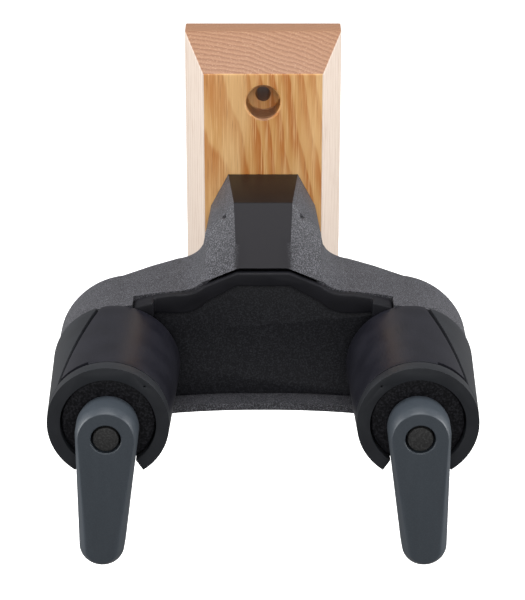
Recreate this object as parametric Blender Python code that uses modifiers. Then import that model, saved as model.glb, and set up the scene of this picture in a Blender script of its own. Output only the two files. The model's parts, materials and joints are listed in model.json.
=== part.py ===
"""Wall guitar hanger with a self-closing yoke.

Metres, +Z up. X runs along the wall, the wall is the plane Y = 0 and the hanger stands out towards -Y.
The origin is the centre of the wooden base's back face. "Depth" below is the distance from the wall, -Y.
The yoke slides down on two rods under a guitar's weight, and a fixed bar turns the two gates inwards.
"""

import bmesh
import bpy
from math import atan2, cos, degrees, pi, radians, sin
from mathutils import Matrix

MM = 0.001

# ---- clearances ----
BEYOND = 1.0 * MM            # how far a cutter runs past the face that it opens
FACE_GAP = 0.3 * MM          # between faces that touch
FIT_GAP = 0.3 * MM           # radial, between a pin and the hole it sits in
SLIDE_GAP = 0.5 * MM         # between sliding faces
SLOT_CLEARANCE = 0.45 * MM   # crank pin to slot, above and below

# ---- wooden base ----
WOOD_WIDTH = 51.0 * MM
WOOD_HEIGHT = 130.0 * MM
WOOD_THICKNESS = 28.0 * MM
WOOD_EDGE = 10.0 * MM            # square edge left at the wall
WOOD_SIDE_BEVEL = 6.2 * MM
WOOD_END_BEVEL = 9.2 * MM
WALL_HOLE_RADIUS = 2.5 * MM
WALL_HOLE_INSET = 18.75 * MM     # from the base's end to the hole
COUNTERBORE_RADIUS = 5.5 * MM
COUNTERBORE_DEPTH = 10.0 * MM

# ---- neck bracket ----
BRACKET_LENGTH = 21.3 * MM
NECK_TOP = 22.2 * MM
NECK_TOP_DROP = 2.1 * MM         # how much the top facet falls to the front
NECK_TOP_HALF = 11.3 * MM
NECK_FRONT_HALF = 9.3 * MM
NECK_HALF = 19.1 * MM
NECK_SHOULDER = 1.0 * MM
NECK_BOTTOM = -12.0 * MM
NECK_SIDE_SHARE = 0.72           # where the sloping side turns steeper, from facet to shoulder
NECK_UNDERCUT = 4.0 * MM         # height over which the neck narrows to the body
BRACKET_WALL = 2.2 * MM          # beside the pocket
POCKET_WALL = 7.7 * MM           # bracket left behind the pocket
BASE_SCREW_RADIUS = 2.0 * MM
BASE_SCREW_HEAD = 4.0 * MM
BASE_SCREW_HEIGHTS = (14.0 * MM, -20.0 * MM)
BASE_SCREW_SINK = 5.7 * MM
BASE_SCREW_BACK = 2.5 * MM       # wall to the head
BASE_SCREW_GRIP = 6.7 * MM       # thread held by the bracket

# ---- yoke shell ----
ARM_SPACING = 92.0 * MM
ARM_HEIGHT = -26.2 * MM
WALL_CLEARANCE = 3.0 * MM        # shell to wooden base
SHELL_WALL = 2.6 * MM
POD_SURROUND = 5.3 * MM          # pod's radius over the arm tube's
POD_LENGTH = 4.5 * MM
SHOULDER_RISE = 2.6 * MM         # shoulder above the pods
BOTTOM_RISE = 3.1 * MM           # underside above the pods' lowest point
BOTTOM_ARCH = 1.0 * MM
REAR_ROUND = 6.0 * MM
WING_SWEEP = 0.48                # how fast the wings' rear leaves the wall, outside the cover screws
WING_SWEEP_END = 26.0 * MM       # how far from the shell's rear the sweep fades out
CREST_RISE = 7.0 * MM            # shell's front edge at the middle, above the shoulder
CREST_HALF = 8.2 * MM
CREST_SLOPE_WIDTH = 10.0 * MM
CREST_SLOPE_DROP = 4.4 * MM
SHOULDER_START = 25.0 * MM       # where the shoulder turns level, from the middle
SHOULDER_INSET = 10.0 * MM       # from the arm's axis to the shoulder's outer end
HOOD_SKIRT = 6.0 * MM            # how far the hood runs into the shoulder
PLATE_THICKNESS = 3.5 * MM
PLATE_RECESS = 2.5 * MM
BAND_HEIGHTS = (4.4 * MM, 5.6 * MM, 6.4 * MM, 5.0 * MM, 3.0 * MM)    # from the middle to an end
BAND_PROUD = 0.5 * MM
BAND_END = 5.5 * MM              # from the arm's axis to the band's end
BAND_FALL = 0.35                 # slope of the band's ends
BOSS_RADIUS = 3.2 * MM
COVER_SCREW_RADIUS = 1.5 * MM
COVER_SCREW_GRIP = 12.0 * MM
SMALL_HEAD_HEIGHT = 1.8 * MM
COVER_SCREW_DROP = 9.1 * MM      # below the shoulder

# ---- slide ----
YOKE_DROP = 9.4 * MM
ROD_RADIUS = 2.5 * MM
ROD_GRIP = 5.0 * MM              # length held above the pocket
BUSH_WALL = 1.2 * MM
CARRIAGE_RISE = 2.3 * MM         # carriage's top above the crest
CARRIAGE_HEIGHT = 19.0 * MM
CARRIAGE_WALL = 1.0 * MM         # outside the bushes
CARRIAGE_WEB = 0.3 * MM          # between a bush and a screw's head
CARRIAGE_BRIDGE_HALF = 9.0 * MM
BRIDGE_STEP = 1.0 * MM
LUG_HEIGHT = 5.0 * MM
SPRING_WIRE = 0.5 * MM
SPRING_TURNS = 6
SPRING_ROOM = 7.6 * MM           # left for the springs when the yoke is down
CARRIAGE_SCREW_RADIUS = 1.5 * MM
CARRIAGE_HEAD = 2.6 * MM
CARRIAGE_SCREW_SEAT = 2.3 * MM
CARRIAGE_SCREW_GRIP = 2.2 * MM
CARRIAGE_SCREW_INSET = 3.4 * MM

# ---- gates ----
CRANK_SWING = 46.0               # degrees each side of level
CRANK_THICKNESS = 2.8 * MM
CRANK_BOSS_WALL = 3.2 * MM
CRANK_EYE_WALL = 1.7 * MM
CRANK_PIN_RADIUS = 1.5 * MM
BAR_THICKNESS = 3.0 * MM
BAR_ABOVE_SLOT = 2.25 * MM
BAR_BELOW_BODY = 0.5 * MM
BAR_END_WALL = 2.4 * MM
BAR_SCREW_RADIUS = 1.3 * MM
BAR_SCREW_SPACING = 6.0 * MM
BAR_SCREW_GRIP = 5.5 * MM
WASHER_THICKNESS = 1.1 * MM
WASHER_WIDTH = 4.0 * MM
SHAFT_RADIUS = 3.8 * MM
SHAFT_STEP = 0.8 * MM
SHAFT_RECESS = 0.2 * MM          # shaft's end behind the lever's face
LEVER_RADIUS = 9.35 * MM
LEVER_TIP_RADIUS = 6.9 * MM
LEVER_REACH = 43.4 * MM
LEVER_THICKNESS = 9.5 * MM
LEVER_HUB = 2.1 * MM
LEVER_EDGE = 2.2 * MM
LEVER_HUB_STEP = 0.2 * MM
LEVER_TILT = 3.6                 # degrees outwards when open
LEVER_BORE_GAP = 0.65 * MM

# ---- arms ----
TUBE_RADIUS = 14.0 * MM
TUBE_WALL = 2.2 * MM
TUBE_END_WALL = 3.0 * MM
TUBE_RECESS = 1.5 * MM           # tube's end behind the sleeve's end
FLANGE_LIP = 2.0 * MM
FLANGE_THICKNESS = 1.8 * MM
SLEEVE_LENGTH = 44.0 * MM
SLEEVE_FRONT_WALL = 3.9 * MM
SLEEVE_STEP = 0.6 * MM           # sleeve's rear end over the pod
RING_LENGTH = 4.2 * MM
PAD_SLOT = 0.6 * MM
SLEEVE_OPENING = 34.0            # degrees each side of straight down
SEAM_REAR = 15.0                 # degrees outwards from the top
SEAM_FRONT = 53.0
BUSHING_LENGTH = 6.5 * MM
BUSHING_WALL = 2.5 * MM          # front bushing, round the shaft
BUSHING_FLANGE = 2.0 * MM
RING_THICKNESS = 1.0 * MM
RETAINING_RING_WIDTH = 2.0 * MM

# ---- worked out: depths, from the wall outwards ----
bracket_back = WOOD_THICKNESS + FACE_GAP
bracket_front = bracket_back + BRACKET_LENGTH
shell_back = WOOD_THICKNESS + WALL_CLEARANCE
seam_depth = bracket_front + SLIDE_GAP
bar_back = bracket_front + FACE_GAP
bar_front = bar_back + BAR_THICKNESS
crank_back = bar_front + SLIDE_GAP
crank_front = crank_back + CRANK_THICKNESS
washer_back = crank_front + FACE_GAP
washer_front = washer_back + WASHER_THICKNESS
flange_back = washer_front + FACE_GAP
flange_front = flange_back + FLANGE_THICKNESS
plate_back = flange_front + FACE_GAP
plate_front = plate_back + PLATE_THICKNESS
band_back = plate_front + FACE_GAP
shell_front = plate_front + PLATE_RECESS
pod_front = shell_front + POD_LENGTH
sleeve_back = pod_front + SLIDE_GAP
sleeve_front = sleeve_back + SLEEVE_LENGTH
ring_back = sleeve_front - RING_LENGTH
tube_front = sleeve_front - TUBE_RECESS
hub_back = tube_front + SLIDE_GAP
lever_back = hub_back + LEVER_HUB
lever_front = lever_back + LEVER_THICKNESS
pocket_back = bracket_back + POCKET_WALL
rod_depth = (pocket_back + bracket_front) / 2
boss_back = shell_back + SHELL_WALL + 5 * FACE_GAP

# ---- worked out: arms and cranks ----
arm_x = ARM_SPACING / 2
tube_bore = TUBE_RADIUS - TUBE_WALL
flange_radius = TUBE_RADIUS + FLANGE_LIP
pod_radius = TUBE_RADIUS + POD_SURROUND
sleeve_bore = TUBE_RADIUS + FIT_GAP
sleeve_radius_front = sleeve_bore + SLEEVE_FRONT_WALL
sleeve_radius_rear = pod_radius + SLEEVE_STEP
shaft_tail_radius = SHAFT_RADIUS - SHAFT_STEP
bushing_bore = SHAFT_RADIUS + FIT_GAP
crank_radius = YOKE_DROP / (2 * sin(radians(CRANK_SWING)))
bar_height = ARM_HEIGHT - YOKE_DROP / 2

# ---- worked out: shell ----
pod_top = ARM_HEIGHT + pod_radius
shoulder_top = pod_top + SHOULDER_RISE
crest_top = shoulder_top + CREST_RISE
shoulder_end = arm_x - SHOULDER_INSET
pod_gap_half = arm_x - pod_radius + 2 * MM
passage_half = NECK_HALF + SLIDE_GAP
cover_screw_x = passage_half + BOSS_RADIUS + 0.8 * MM
cover_screw_z = shoulder_top - COVER_SCREW_DROP

# ---- worked out: slide ----
bush_radius = ROD_RADIUS + FIT_GAP + BUSH_WALL
bush_bore = bush_radius + FIT_GAP
rod_x = bush_bore + CARRIAGE_WEB + CARRIAGE_HEAD + FIT_GAP
carriage_half = rod_x + bush_bore + CARRIAGE_WALL
pocket_half = carriage_half + SLIDE_GAP
body_half = pocket_half + BRACKET_WALL
carriage_top = crest_top + CARRIAGE_RISE
pocket_top = carriage_top + SLIDE_GAP
rod_top = pocket_top + ROD_GRIP
carriage_bottom = carriage_top - CARRIAGE_HEIGHT
lug_top = carriage_bottom - YOKE_DROP - SPRING_ROOM
body_bottom = lug_top - LUG_HEIGHT
bar_bottom = body_bottom - BAR_BELOW_BODY
shell_bottom = min(ARM_HEIGHT - pod_radius + BOTTOM_RISE, bar_bottom - SLIDE_GAP - SHELL_WALL - BOTTOM_ARCH)


# ---- small tools ----

def clear_scene():
    for thing in list(bpy.data.objects):
        bpy.data.objects.remove(thing, do_unlink=True)


def collection(name):
    made = bpy.data.collections.new(name)
    bpy.context.scene.collection.children.link(made)
    return made


def material(name, colour, roughness, metallic=0.0):
    made = bpy.data.materials.new(name)
    made.use_nodes = True
    shader = made.node_tree.nodes["Principled BSDF"]
    shader.inputs["Base Color"].default_value = (*colour, 1.0)
    shader.inputs["Roughness"].default_value = roughness
    shader.inputs["Metallic"].default_value = metallic
    return made


def add(name, mesh, finish, parent=None):
    """Put a mesh in the hanger's collection as one named piece, shaded smooth where it is round."""
    thing = bpy.data.objects.new(name, mesh)
    PARTS.objects.link(thing)
    mesh.materials.append(MATERIALS[finish])
    mesh.shade_smooth()
    mesh.set_sharp_from_angle(angle=radians(35))
    thing.parent = parent
    return thing


def mesh_from(bm, name):
    bmesh.ops.recalc_face_normals(bm, faces=bm.faces)
    mesh = bpy.data.meshes.new(name)
    bm.to_mesh(mesh)
    bm.free()
    return mesh


def loft(name, sections):
    """A closed solid through sections of equally many points: each section is (depth, [(x, z), ...])."""
    bm = bmesh.new()
    rings = [[bm.verts.new((x, -depth, z)) for x, z in outline] for depth, outline in sections]
    for near, far in zip(rings, rings[1:]):
        for i in range(len(near)):
            j = (i + 1) % len(near)
            bm.faces.new((near[i], near[j], far[j], far[i]))
    bm.faces.new(rings[0])
    bm.faces.new(rings[-1])
    return mesh_from(bm, name)


def prism(name, outline, back, front):
    return loft(name, [(back, outline), (front, outline)])


def block(name, low, high):
    """A box between two corners given as (x, depth, z)."""
    bm = bmesh.new()
    size = [high[i] - low[i] for i in range(3)]
    middle = [(high[i] + low[i]) / 2 for i in range(3)]
    place = Matrix.Translation((middle[0], -middle[1], middle[2])) @ Matrix.Diagonal((*size, 1.0))
    bmesh.ops.create_cube(bm, size=1.0, matrix=place)
    return mesh_from(bm, name)


def turned_mesh(name, profile, steps):
    """Spin a closed profile of (radius, height), run down its outer side, about Z."""
    mesh = bpy.data.meshes.new(name)
    edges = [(i, (i + 1) % len(profile)) for i in range(len(profile))]
    if profile[0][0] == 0.0:
        edges = edges[:-1]
    mesh.from_pydata([(radius, 0.0, height) for radius, height in profile], edges, [])
    thing = bpy.data.objects.new(name, mesh)
    PARTS.objects.link(thing)
    screw = thing.modifiers.new("Screw", "SCREW")
    screw.axis = "Z"
    screw.steps = screw.render_steps = steps
    screw.use_merge_vertices = True
    screw.merge_threshold = 0.00001
    return baked(thing)


def baked(thing):
    """The evaluated mesh of a helper object, which is then removed."""
    bpy.context.view_layer.update()
    shape = thing.evaluated_get(bpy.context.evaluated_depsgraph_get())
    mesh = bpy.data.meshes.new_from_object(shape)
    mesh.materials.clear()
    mesh.transform(thing.matrix_world)
    bpy.data.objects.remove(thing, do_unlink=True)
    bm = bmesh.new()
    bm.from_mesh(mesh)
    bmesh.ops.remove_doubles(bm, verts=bm.verts, dist=0.00001)
    bm.to_mesh(mesh)
    bm.free()
    return mesh


def along_depth(mesh, x=0.0, z=0.0):
    """Lay a shape turned about Z on an axis that runs out from the wall at (x, z)."""
    mesh.transform(Matrix.Translation((x, 0.0, z)) @ Matrix.Rotation(radians(90), 4, "X"))
    return mesh


def rod(name, radius, back, front, x=0.0, z=0.0, steps=24):
    profile = [(0.0, front), (radius, front), (radius, back), (0.0, back)]
    return along_depth(turned_mesh(name, profile, steps), x, z)


def tube(name, bore, radius, back, front, x=0.0, z=0.0, steps=32):
    profile = [(bore, front), (radius, front), (radius, back), (bore, back)]
    return along_depth(turned_mesh(name, profile, steps), x, z)


def stepped_hole(bore, far, wide, step, mouth, x=0.0, z=0.0):
    """Cutter for a hole that starts wide at its mouth and narrows at the step to run on to its far end."""
    profile = [(0.0, far), (bore, far), (bore, step), (wide, step), (wide, mouth), (0.0, mouth)]
    if far < mouth:
        profile.reverse()
    return along_depth(turned_mesh("stepped_hole", profile, 32), x, z)


def upright(name, profile, x, depth, steps=24):
    mesh = turned_mesh(name, profile, steps)
    mesh.transform(Matrix.Translation((x, -depth, 0.0)))
    return mesh


def combine(thing, mesh, operation="DIFFERENCE"):
    """Cut a hole in a piece, or join a boss to it, with an exact Boolean that stays on the object."""
    tool = bpy.data.objects.new(f"tool_{thing.name}_{len(thing.modifiers)}", mesh)
    TOOLS.objects.link(tool)
    tool.hide_render = True
    tool.display_type = "WIRE"
    tool.parent = thing.parent
    change = thing.modifiers.new(operation.title(), "BOOLEAN")
    change.operation = operation
    change.solver = "EXACT"
    change.object = tool


def arc(x, z, radius, start, stop, steps):
    """Points on a circle from one angle to another, in degrees from +X towards +Z."""
    angles = [radians(start + (stop - start) * i / steps) for i in range(steps + 1)]
    return [(x + radius * cos(a), z + radius * sin(a)) for a in angles]


def mirrored(half):
    """A whole outline from its right half, listed from the top to the bottom."""
    return half + [(-x, z) for x, z in reversed(half)]


# ---- wooden base ----

def wood_base():
    half_w, half_h = WOOD_WIDTH / 2, WOOD_HEIGHT / 2
    back = mirrored([(half_w, half_h), (half_w, -half_h)])
    front_w, front_h = half_w - WOOD_SIDE_BEVEL, half_h - WOOD_END_BEVEL
    front = mirrored([(front_w, front_h), (front_w, -front_h)])
    sections = [(0.0, back), (WOOD_EDGE, back), (WOOD_THICKNESS, front)]
    wood = add("wood_base", loft("wood_base", sections), "ash")
    beyond = WOOD_THICKNESS + BEYOND
    seat = WOOD_THICKNESS - COUNTERBORE_DEPTH
    for side in (1, -1):
        z = side * (half_h - WALL_HOLE_INSET)
        combine(wood, stepped_hole(WALL_HOLE_RADIUS, -BEYOND, COUNTERBORE_RADIUS, seat, beyond, z=z))
    for z in BASE_SCREW_HEIGHTS:
        combine(wood, stepped_hole(BASE_SCREW_RADIUS + FIT_GAP, beyond, BASE_SCREW_HEAD + FIT_GAP,
                                   BASE_SCREW_SINK + FACE_GAP, -BEYOND, z=z))


def headed_screw(name, shank, head, tip, seat, head_end, x=0.0, z=0.0, parent=None):
    """A screw along the depth axis: head between head_end and seat, shank from seat to tip."""
    profile = [(0.0, tip), (shank, tip), (shank, seat), (head, seat), (head, head_end), (0.0, head_end)]
    if tip < seat:
        profile.reverse()
    return add(name, along_depth(turned_mesh(name, profile, 20), x, z), "steel", parent)


def base_screws():
    tip = bracket_back + BASE_SCREW_GRIP
    for name, z in zip(("base_screw_upper", "base_screw_lower"), BASE_SCREW_HEIGHTS):
        headed_screw(name, BASE_SCREW_RADIUS, BASE_SCREW_HEAD, tip, BASE_SCREW_SINK, BASE_SCREW_BACK, z=z)


# ---- neck bracket, rods and bar ----

def neck_outline(top, top_half):
    slope = (NECK_HALF - top_half) * NECK_SIDE_SHARE
    half = [
        (top_half, top),
        (top_half + slope, (top + NECK_SHOULDER) / 2),
        (NECK_HALF, NECK_SHOULDER),
        (NECK_HALF, NECK_BOTTOM),
        (body_half, NECK_BOTTOM - NECK_UNDERCUT),
        (body_half, body_bottom),
    ]
    return mirrored(half)


def neck_bracket():
    sections = [
        (bracket_back, neck_outline(NECK_TOP, NECK_TOP_HALF)),
        (bracket_front, neck_outline(NECK_TOP - NECK_TOP_DROP, NECK_FRONT_HALF)),
    ]
    bracket = add("neck_bracket", loft("neck_bracket", sections), "neck_black")
    pocket = block("pocket", (-pocket_half, pocket_back, lug_top),
                   (pocket_half, bracket_front + BEYOND, pocket_top))
    combine(bracket, pocket)
    for side in (-1, 1):
        bore = ROD_RADIUS + FIT_GAP
        bottom = body_bottom - BEYOND
        profile = [(0.0, rod_top), (bore, rod_top), (bore, bottom), (0.0, bottom)]
        combine(bracket, upright("rod_hole", profile, side * rod_x, rod_depth))
        combine(bracket, rod("hole", BAR_SCREW_RADIUS + FIT_GAP, bracket_front - BAR_SCREW_GRIP - SLIDE_GAP,
                             bracket_front + BEYOND, side * BAR_SCREW_SPACING / 2, bar_screw_z()))
    for z in BASE_SCREW_HEIGHTS:
        hole = BASE_SCREW_RADIUS + FIT_GAP
        deep = bracket_back + BASE_SCREW_GRIP + FACE_GAP
        combine(bracket, rod("hole", hole, bracket_back - BEYOND, deep, z=z))


def bar_screw_z():
    return (body_bottom + lug_top) / 2


def guide_rods():
    top = rod_top - FACE_GAP
    bottom = body_bottom + FACE_GAP
    for name, side in (("guide_rod_left", -1), ("guide_rod_right", 1)):
        profile = [(0.0, top), (ROD_RADIUS, top), (ROD_RADIUS, bottom), (0.0, bottom)]
        add(name, upright(name, profile, side * rod_x, rod_depth), "steel")


def drive_bar():
    """The fixed bar whose slotted ends hold the two crank pins at one height."""
    slot = CRANK_PIN_RADIUS + SLOT_CLEARANCE
    near = arm_x - crank_radius - slot
    far = arm_x - crank_radius * cos(radians(CRANK_SWING)) + slot
    end = far + BAR_END_WALL
    low, high = bar_bottom, bar_height + slot + BAR_ABOVE_SLOT
    bar = add("drive_bar", block("drive_bar", (-end, bar_back, low), (end, bar_front, high)), "steel")
    for side in (-1, 1):
        ends = sorted((side * near, side * far))
        opening = block("slot", (ends[0], bar_back - BEYOND, bar_height - slot),
                        (ends[1], bar_front + BEYOND, bar_height + slot))
        combine(bar, opening)
        combine(bar, rod("hole", BAR_SCREW_RADIUS + FIT_GAP, bar_back - BEYOND, bar_front + BEYOND,
                         side * BAR_SCREW_SPACING / 2, bar_screw_z()))
    for name, side in (("bar_screw_left", -1), ("bar_screw_right", 1)):
        seat = bar_front + FACE_GAP
        headed_screw(name, BAR_SCREW_RADIUS, 2 * BAR_SCREW_RADIUS, bracket_front - BAR_SCREW_GRIP, seat,
                     seat + SMALL_HEAD_HEIGHT, side * BAR_SCREW_SPACING / 2, bar_screw_z())


# ---- yoke shell ----

def crest_line(inset):
    """Right half of the shell's top front edge, from the middle out to the shoulder's end."""
    return [
        (CREST_HALF - inset / 3, crest_top - inset),
        (CREST_HALF + CREST_SLOPE_WIDTH - inset / 3, crest_top - CREST_SLOPE_DROP - inset),
        (SHOULDER_START, shoulder_top - inset),
        (shoulder_end, (shoulder_top + pod_top) / 2 - inset),
    ]


def shell_outline(inset):
    """The yoke's outline at its front edge, drawn in by an even wall."""
    half = crest_line(inset)
    half += arc(arm_x, ARM_HEIGHT, pod_radius - inset, 92, -100, 16)
    half += [
        (arm_x - pod_radius, shell_bottom - BOTTOM_ARCH + inset),
        (arm_x / 3, shell_bottom - BOTTOM_ARCH / 4 + inset),
    ]
    return mirrored(half)


def hood_outline(share, inset):
    """The hood's section, from its top behind the seam (share 0) down to the shell's front edge (share 1)."""
    top = NECK_TOP - NECK_TOP_DROP
    crest_half = NECK_FRONT_HALF + (CREST_HALF - NECK_FRONT_HALF) * share
    crest = top + (crest_top - top) * share
    high = (top + NECK_SHOULDER) / 2
    side = high + (crest_top - CREST_SLOPE_DROP - high) * share
    foot = shoulder_top + (crest_top - shoulder_top) * 0.3 * (1 - share)
    half = [
        (crest_half - inset / 3, crest - inset),
        (CREST_HALF + CREST_SLOPE_WIDTH - inset, side - inset),
        (passage_half - inset, foot - inset),
        (SHOULDER_START - inset, shoulder_top - MM - inset),
        (SHOULDER_START - inset, shoulder_top - HOOD_SKIRT),
    ]
    return mirrored(half)


def swept_wings(mesh, back):
    """Carry the rear of both wings forward, the more the farther out, and leave the front edge in place."""
    start = cover_screw_x + BOSS_RADIUS + BEYOND
    bm = bmesh.new()
    bm.from_mesh(mesh)
    for side in (-1, 1):
        everything = bm.verts[:] + bm.edges[:] + bm.faces[:]
        bmesh.ops.bisect_plane(bm, geom=everything, plane_co=(side * start, 0.0, 0.0), plane_no=(1.0, 0.0, 0.0))
    for corner in bm.verts:
        fade = 1 + (corner.co.y + back) / (shell_back + WING_SWEEP_END - back)
        corner.co.y -= WING_SWEEP * max(0.0, abs(corner.co.x) - start) * max(0.0, fade)
    bmesh.ops.triangulate(bm, faces=[face for face in bm.faces if len(face.verts) > 3])
    bm.to_mesh(mesh)
    bm.free()
    return mesh


def yoke_cover(yoke):
    sections = [
        (shell_back, shell_outline(REAR_ROUND)),
        (shell_back + REAR_ROUND * 0.3, shell_outline(REAR_ROUND * 0.45)),
        (shell_back + REAR_ROUND * 0.7, shell_outline(REAR_ROUND * 0.12)),
        (shell_back + REAR_ROUND * 1.3, shell_outline(0.0)),
        (pod_front, shell_outline(0.0)),
    ]
    cover = add("yoke_cover", swept_wings(loft("yoke_cover", sections), shell_back), "cover_grey", yoke)
    hood = loft("hood", [(seam_depth, hood_outline(0.0, 0.0)), (shell_front, hood_outline(1.0, 0.0))])
    combine(cover, hood, "UNION")
    inside = [
        (shell_back + SHELL_WALL, shell_outline(REAR_ROUND * 0.45 + SHELL_WALL)),
        (shell_back + SHELL_WALL + REAR_ROUND / 3, shell_outline(REAR_ROUND * 0.2 + SHELL_WALL)),
        (shell_back + REAR_ROUND * 1.3, shell_outline(SHELL_WALL)),
        (pod_front + BEYOND, shell_outline(SHELL_WALL)),
    ]
    combine(cover, swept_wings(loft("inside", inside), shell_back + SHELL_WALL))
    hollow = [(seam_depth - BEYOND, hood_outline(0.0, SHELL_WALL)),
              (plate_back, hood_outline(0.75, SHELL_WALL))]
    combine(cover, loft("hollow", hollow))
    combine(cover, block("passage", (-passage_half, 0.0, body_bottom - BEYOND),
                         (passage_half, seam_depth, 2 * NECK_TOP)))
    combine(cover, between_pods(shell_front))
    combine(cover, prism("rim", band_outline(FACE_GAP, BEYOND), band_back - FACE_GAP, pod_front + BEYOND))
    for side in (-1, 1):
        combine(cover, rod("hole", COVER_SCREW_RADIUS + FIT_GAP, 0.0, boss_back,
                           side * cover_screw_x, cover_screw_z))


def between_pods(back):
    """Cutter for the open middle between the two pods, from a given depth outwards."""
    return block("between_pods", (-pod_gap_half, back, 2 * shell_bottom),
                 (pod_gap_half, pod_front + BEYOND, NECK_TOP))


def band_outline(grow, over=0.0):
    """The soft band along the shell's top front edge, grown to make its seat."""
    reach = arm_x - BAND_END + grow

    def line(inset):
        points = crest_line(inset)
        inner = points[-1]
        return points + [(reach, inner[1] - (reach - inner[0]) * BAND_FALL)]

    bottom = [(x, z - height) for (x, z), height in zip(line(grow), BAND_HEIGHTS)]
    right = line(-over) + bottom[::-1]
    return right + [(-x, z) for x, z in bottom] + [(-x, z) for x, z in reversed(line(-over))]


def yoke_pad(yoke):
    """The soft band. Its two ends fill the rims of the pods, behind the arms' sleeves."""
    band = add("yoke_pad", prism("yoke_pad", band_outline(0.0), band_back, pod_front), "band_black", yoke)
    combine(band, between_pods(shell_front + BAND_PROUD))


def front_plate(yoke):
    outline = shell_outline(SHELL_WALL + FACE_GAP + 0.1 * MM)
    plate = add("front_plate", prism("front_plate", outline, plate_back, plate_front), "plate_black", yoke)
    for side in (-1, 1):
        combine(plate, rod("hole", TUBE_RADIUS + FIT_GAP, plate_back - BEYOND, plate_front + BEYOND,
                           side * arm_x, ARM_HEIGHT, 48))
        x = side * cover_screw_x
        combine(plate, rod("boss", BOSS_RADIUS, boss_back, plate_back + BEYOND, x, cover_screw_z), "UNION")
        combine(plate, rod("hole", COVER_SCREW_RADIUS + FIT_GAP, 0.0, boss_back + COVER_SCREW_GRIP + BEYOND,
                           x, cover_screw_z))
    for z in carriage_screw_heights():
        combine(plate, rod("hole", CARRIAGE_SCREW_RADIUS + FIT_GAP, plate_back - BEYOND,
                           plate_back + CARRIAGE_SCREW_GRIP + SLIDE_GAP, z=z))


def cover_screws(yoke):
    seat = shell_back - FACE_GAP
    for name, side in (("cover_screw_left", -1), ("cover_screw_right", 1)):
        headed_screw(name, COVER_SCREW_RADIUS, CARRIAGE_HEAD, boss_back + COVER_SCREW_GRIP, seat,
                     seat - SMALL_HEAD_HEIGHT, side * cover_screw_x, cover_screw_z, yoke)


# ---- slide ----

def carriage_screw_heights():
    upper = crest_top - SHELL_WALL - CARRIAGE_HEAD - 2 * BRIDGE_STEP
    return (upper, carriage_bottom + CARRIAGE_SCREW_INSET)


def carriage(yoke):
    back, front = pocket_back + SLIDE_GAP, bracket_front - SLIDE_GAP
    body = block("slide_carriage", (-carriage_half, back, carriage_bottom),
                 (carriage_half, front, carriage_top))
    piece = add("slide_carriage", body, "plate_black", yoke)
    bridge = block("bridge", (-CARRIAGE_BRIDGE_HALF, front - BRIDGE_STEP, carriage_bottom + BRIDGE_STEP),
                   (CARRIAGE_BRIDGE_HALF, plate_back - FACE_GAP, crest_top - SHELL_WALL - 2 * BRIDGE_STEP))
    combine(piece, bridge, "UNION")
    for side in (-1, 1):
        top, bottom = carriage_top + BEYOND, carriage_bottom - BEYOND
        profile = [(0.0, top), (bush_bore, top), (bush_bore, bottom), (0.0, bottom)]
        combine(piece, upright("bore", profile, side * rod_x, rod_depth))
    for z in carriage_screw_heights():
        combine(piece, stepped_hole(CARRIAGE_SCREW_RADIUS + FIT_GAP, plate_back + BEYOND,
                                    CARRIAGE_HEAD + FIT_GAP, back + CARRIAGE_SCREW_SEAT + FACE_GAP,
                                    back - BEYOND, z=z))


def slide_pieces(yoke):
    bore = ROD_RADIUS + FIT_GAP
    for name, side in (("guide_bush_left", -1), ("guide_bush_right", 1)):
        profile = [(bore, carriage_top), (bush_radius, carriage_top),
                   (bush_radius, carriage_bottom), (bore, carriage_bottom)]
        add(name, upright(name, profile, side * rod_x, rod_depth), "bush_white", yoke)
    seat = pocket_back + SLIDE_GAP + CARRIAGE_SCREW_SEAT
    for name, z in zip(("carriage_screw_upper", "carriage_screw_lower"), carriage_screw_heights()):
        headed_screw(name, CARRIAGE_SCREW_RADIUS, CARRIAGE_HEAD, plate_back + CARRIAGE_SCREW_GRIP, seat,
                     seat - SMALL_HEAD_HEIGHT, z=z, parent=yoke)


def return_springs():
    """Compression springs on the rods, between the bracket's lug and the carriage."""
    radius = ROD_RADIUS + FIT_GAP + FACE_GAP + SPRING_WIRE
    low = lug_top + FACE_GAP + SPRING_WIRE
    high = carriage_bottom - FACE_GAP - SPRING_WIRE
    count = SPRING_TURNS * 12
    for name, side in (("return_spring_left", -1), ("return_spring_right", 1)):
        curve = bpy.data.curves.new(name, "CURVE")
        curve.dimensions = "3D"
        curve.bevel_depth = SPRING_WIRE
        curve.bevel_resolution = 1
        curve.use_fill_caps = True
        spline = curve.splines.new("POLY")
        spline.points.add(count)
        for i, point in enumerate(spline.points):
            turn = 2 * pi * SPRING_TURNS * i / count
            height = low + (high - low) * i / count
            point.co = (radius * cos(turn), radius * sin(turn), height, 1.0)
        spring = bpy.data.objects.new(name, curve)
        PARTS.objects.link(spring)
        spring.location = (side * rod_x, -rod_depth, 0.0)
        curve.materials.append(MATERIALS["steel"])


# ---- arms ----

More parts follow.
